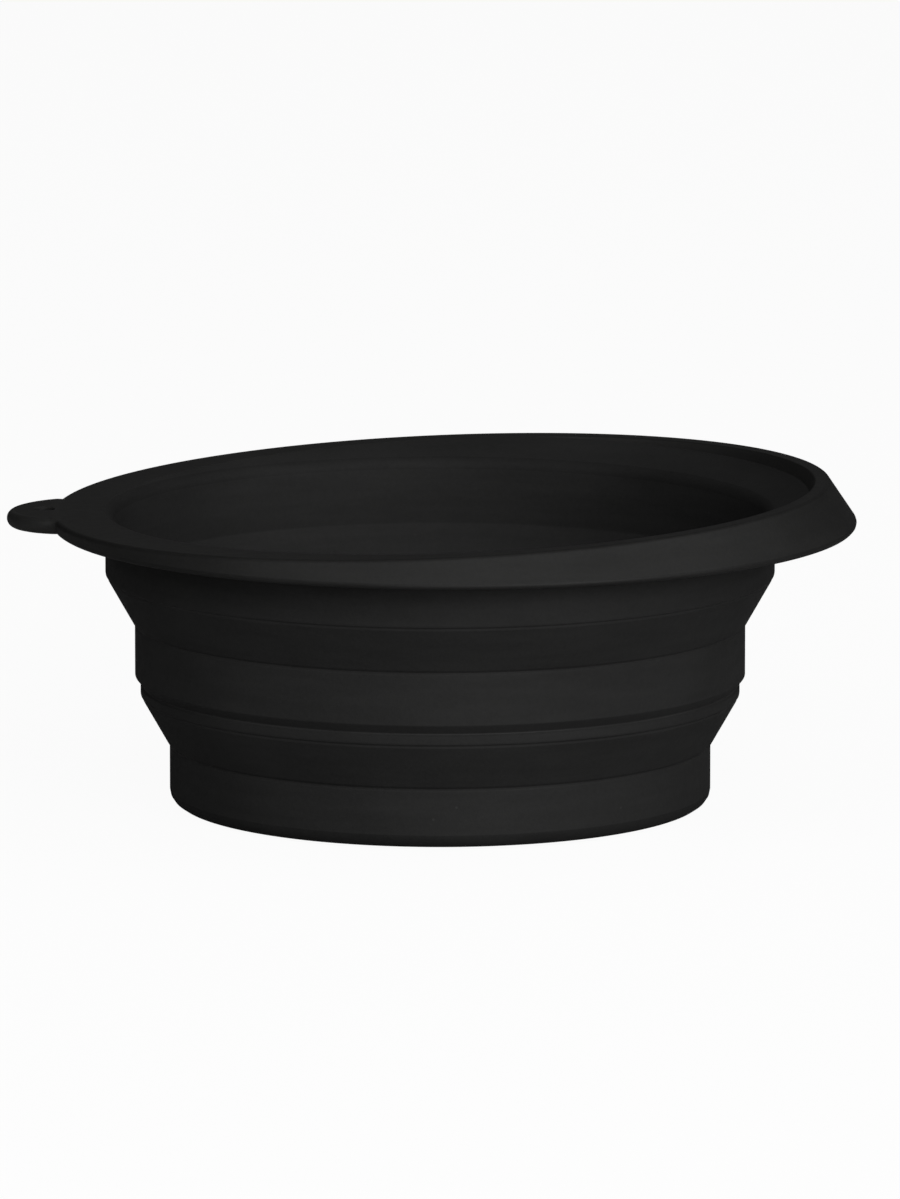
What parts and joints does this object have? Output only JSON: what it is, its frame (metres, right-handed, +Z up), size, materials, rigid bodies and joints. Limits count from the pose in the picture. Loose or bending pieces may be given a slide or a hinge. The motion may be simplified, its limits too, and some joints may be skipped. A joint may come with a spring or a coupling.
{
  "type": "collapsible hair colour bowl",
  "caption": "Round salon mixing bowl whose wall folds down in two steps, with a rim that leans up to one side, an overhanging skirt and a hanging ear with a hole.",
  "frame": {"origin": "centre of the non-slip ring's underside, on the axis of the wall", "axes": "+Z up, -X towards the hanging ear, +X towards the high side of the rim"},
  "size_m": [0.148, 0.1402, 0.0572],
  "materials": {
    "hard_plastic": "fine matte, moulded black",
    "soft_wall": "soft matte black elastomer",
    "foot_rubber": "grippy matte black elastomer"
  },
  "bodies": {
    "base": {"base_dish": "hard_plastic", "foot_ring": "foot_rubber", "base_band": "soft_wall", "lower_fold": "soft_wall"},
    "middle": {"middle_ring": "soft_wall", "upper_fold": "soft_wall"},
    "rim": {"collar": "soft_wall", "rim_frame": "hard_plastic"}
  },
  "joints": [
    {"name": "lower_fold_travel", "type": "slide", "parent": "base", "child": "middle", "axis": [0, 0, -1], "range_m": [0, 0.0177], "deforming": ["lower_fold"]},
    {"name": "upper_fold_travel", "type": "slide", "parent": "middle", "child": "rim", "axis": [0, 0, -1], "range_m": [0, 0.018], "deforming": ["upper_fold"]}
  ]
}
